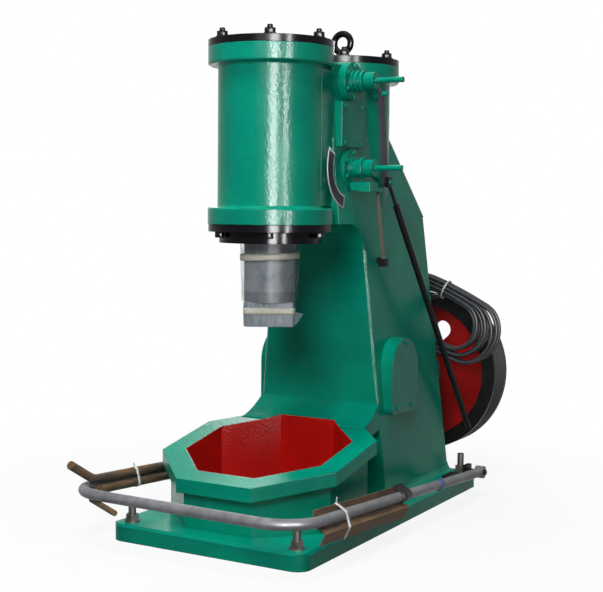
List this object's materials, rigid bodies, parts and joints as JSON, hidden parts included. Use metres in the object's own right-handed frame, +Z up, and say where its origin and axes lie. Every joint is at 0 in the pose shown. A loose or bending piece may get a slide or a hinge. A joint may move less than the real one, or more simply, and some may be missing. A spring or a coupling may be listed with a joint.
{
  "type": "pneumatic forging hammer",
  "caption": "Self-contained air forging hammer: cast frame with two cylinders, a falling ram, an octagonal anvil pit, hand and foot valve gear, and a belt-driven wheel.",
  "frame": {"origin": "middle of the base plate's underside, on the floor", "axes": "+Z up, -Y towards the front with the anvil pit, +X to the right as seen from the front"},
  "size_m": [0.9315, 1.7251, 1.6512],
  "materials": {
    "green_enamel": "gloss enamel on cast iron",
    "red_enamel": "semi-gloss enamel",
    "black_enamel": "gloss black enamel",
    "ground_steel": "ground",
    "zinc_plate": "dull zinc",
    "galvanised_pipe": "galvanised, worn",
    "rusty_steel": "rusted mill steel",
    "dark_bar": "blued steel",
    "cable_rubber": "matt"
  },
  "bodies": {
    "frame": {"base_plate": "green_enamel", "hold_down_studs": "zinc_plate", "anvil_collar": "green_enamel", "column": "green_enamel", "working_cylinder": "green_enamel", "working_cover": "black_enamel", "compressor_cover": "black_enamel", "guide_ring": "black_enamel", "gland_ring": "black_enamel", "upper_valve_cover": "green_enamel", "lower_valve_cover": "green_enamel", "chest_plate": "green_enamel", "relief_block": "green_enamel", "drain_pipe": "rusty_steel", "drain_cock": "black_enamel", "right_side_cover": "green_enamel", "left_side_cover": "green_enamel", "lifting_eye": "black_enamel", "bearing_housing": "green_enamel", "treadle_brackets": "black_enamel", "cable_gland": "cable_rubber", "cable_hook": "black_enamel", "cable_coil": "cable_rubber", "cable_tail": "cable_rubber"},
    "hammer": {"ram": "ground_steel", "upper_die": "ground_steel"},
    "drive_wheel": {"wheel_rim": "black_enamel", "wheel_web": "red_enamel", "wheel_shaft": "ground_steel"},
    "treadle": {"treadle_pipe": "galvanised_pipe", "strapped_angles": "rusty_steel", "strapped_pipes": "rusty_steel"},
    "upper_valve": {"upper_valve_crank": "green_enamel"},
    "lower_valve": {"lower_valve_crank": "green_enamel"},
    "valve_link": {"link_bar": "dark_bar"},
    "treadle_rod": {"pull_rod": "black_enamel"}
  },
  "joints": [
    {"name": "ram_slide", "type": "slide", "parent": "frame", "child": "hammer", "axis": [0, 0, 1], "range_m": [0, 0.18]},
    {"name": "wheel_spin", "type": "hinge", "parent": "frame", "child": "drive_wheel", "pos_m": [0.06, 0.754, 0.405], "axis": [0, 1, 0], "continuous": true},
    {"name": "treadle_hinge", "type": "hinge", "parent": "frame", "child": "treadle", "pos_m": [0, 0.5, 0.088], "axis": [1, 0, 0], "range_deg": [0, 4], "stiffness_Nm_per_rad": 900, "springref_deg": -14.32},
    {"name": "lower_valve_turn", "type": "hinge", "parent": "frame", "child": "lower_valve", "pos_m": [0.22, -0.04, 1.167], "axis": [-1, 0, 0], "range_deg": [0, 9]},
    {"name": "upper_valve_turn", "type": "hinge", "parent": "frame", "child": "upper_valve", "pos_m": [0.22, -0.04, 1.448], "axis": [-1, 0, 0], "range_deg": [0, 18]},
    {"name": "link_swing", "type": "hinge", "parent": "lower_valve", "child": "valve_link", "pos_m": [0.239, 0.057, 1.123], "axis": [-1, 0, 0], "range_deg": [-10.5, 0]},
    {"name": "rod_swing", "type": "hinge", "parent": "lower_valve", "child": "treadle_rod", "pos_m": [0.25, 0.057, 1.123], "axis": [-1, 0, 0], "range_deg": [-9, 0]}
  ],
  "couplings": [
    {"joint": "upper_valve_turn", "follows": "lower_valve_turn", "ratio": 2},
    {"joint": "link_swing", "follows": "lower_valve_turn", "ratio": -1.16},
    {"joint": "rod_swing", "follows": "lower_valve_turn", "ratio": -1}
  ]
}
